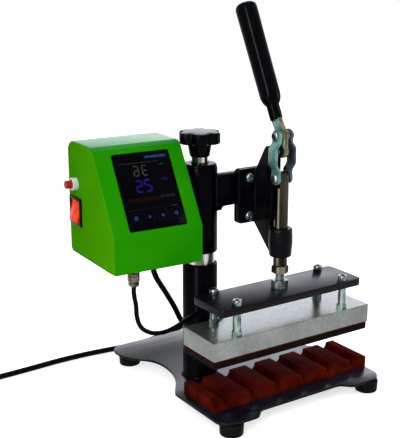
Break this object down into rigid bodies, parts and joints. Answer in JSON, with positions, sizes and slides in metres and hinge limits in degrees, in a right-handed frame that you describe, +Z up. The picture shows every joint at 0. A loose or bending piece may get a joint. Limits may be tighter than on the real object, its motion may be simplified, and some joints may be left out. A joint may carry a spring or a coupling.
{
  "type": "pen heat press",
  "caption": "Bench-top pen heat press: a toggle clamp lowers a heated platen onto a grooved silicone bed; height-adjustable head on a column, control box with screen, mains lead.",
  "frame": {"origin": "on the floor under the middle of the press's bounding box, mains lead left out", "axes": "+X along the heater to the operator's right, +Y to the back (the operator stands at -Y), +Z up"},
  "size_m": [0.4826, 0.2878, 0.4243],
  "materials": {
    "black_enamel": "satin black enamel on steel",
    "green_enamel": "semi-gloss green powder coat on steel",
    "cast_black": "black enamel on a casting",
    "zinc": "bright zinc plate",
    "yellow_zinc": "yellow passivated zinc plate",
    "chrome": "polished",
    "aluminium": "as cast and milled",
    "dark_platen": "non-stick coating",
    "red_silicone": "moulded silicone",
    "black_rubber": "matt",
    "black_plastic": "glossy",
    "black_screen": "glossy window over a display",
    "white_plastic": "semi-gloss",
    "red_plastic": "glossy, lit from inside"
  },
  "bodies": {
    "base": {"base_plate": "black_enamel", "foot_front_left": "black_rubber", "foot_front_right": "black_rubber", "foot_rear_left": "black_rubber", "foot_rear_right": "black_rubber", "silicone_bed": "red_silicone", "lower_column": "black_enamel", "inner_post": "chrome", "post_plug": "zinc", "column_bolt": "zinc", "mains_lead": "black_rubber", "mains_coil": "black_rubber", "mains_plug": "black_rubber"},
    "knob": {"star_knob": "black_plastic", "adjusting_screw": "chrome"},
    "head": {"head_weldment": "black_enamel", "top_bush": "black_enamel", "set_screw": "zinc", "clamp_body": "cast_black", "clamp_bolt_1": "zinc", "clamp_bolt_2": "zinc", "clamp_bolt_3": "zinc", "clamp_bolt_4": "zinc", "lever_pivot_pin": "zinc", "box_shell": "green_enamel", "bottom_cover": "green_enamel", "display_panel": "black_screen", "switch_bezel": "black_plastic", "breaker_collar": "white_plastic", "connector_socket": "zinc", "connector_plug": "zinc", "mains_strain_relief": "black_plastic", "box_bracket": "black_enamel", "heater_cable": "black_rubber"},
    "lever": {"lever_bar": "zinc", "lever_grip": "black_plastic", "link_pivot_pin": "zinc"},
    "links": {"link_left": "zinc", "link_right": "zinc", "link_stud_left": "zinc", "link_stud_right": "zinc"},
    "ram": {"plunger": "yellow_zinc", "lock_nut": "zinc", "spindle": "zinc", "spindle_nut": "zinc", "mount_plate": "black_enamel", "cap_screw_1": "zinc", "cap_screw_2": "zinc", "cap_screw_3": "zinc", "cap_screw_4": "zinc", "standoff_1": "zinc", "standoff_2": "zinc", "standoff_3": "zinc", "standoff_4": "zinc", "heater_block": "aluminium", "heater_gasket": "red_silicone", "platen": "dark_platen", "terminal_cover": "black_plastic"},
    "rocker": {"power_rocker": "red_plastic"},
    "button": {"reset_button": "red_plastic"}
  },
  "joints": [
    {"name": "knob_turn", "type": "hinge", "parent": "base", "child": "knob", "pos_m": [-0.01366, 0.0004, 0.2654], "axis": [0, 0, 1], "range_deg": [-1337.6, 309.1]},
    {"name": "head_lift", "type": "slide", "parent": "base", "child": "head", "axis": [0, 0, 1], "range_m": [-0.0015, 0.0065], "deforming": ["mains_lead"]},
    {"name": "lever_swing", "type": "hinge", "parent": "head", "child": "lever", "pos_m": [0.04834, -0.0616, 0.2739], "axis": [1, 0, 0], "range_deg": [0, 180]},
    {"name": "link_swing", "type": "hinge", "parent": "lever", "child": "links", "pos_m": [0.04834, -0.0616, 0.2899], "axis": [1, 0, 0], "range_deg": [-180.5, 0.5]},
    {"name": "plunger_slide", "type": "slide", "parent": "head", "child": "ram", "axis": [0, 0, -1], "range_m": [0, 0.0321], "deforming": ["heater_cable"]},
    {"name": "rocker_tilt", "type": "hinge", "parent": "head", "child": "rocker", "pos_m": [-0.14066, 0.03909, 0.2153], "axis": [0.0489, 0.9988, 0], "range_deg": [-22, 0]},
    {"name": "button_press", "type": "slide", "parent": "head", "child": "button", "axis": [0.9988, -0.0489, 0], "range_m": [0, 0.003], "stiffness_N_per_m": 500, "springref_m": -0.002}
  ],
  "couplings": [
    {"joint": "knob_turn", "follows": "head_lift", "rad_per_m": -3590.4},
    {"joint": "link_swing", "follows": "lever_swing", "ratio": -1},
    {"joint": "plunger_slide", "follows": "lever_swing", "m_per_rad": 0.010185}
  ]
}
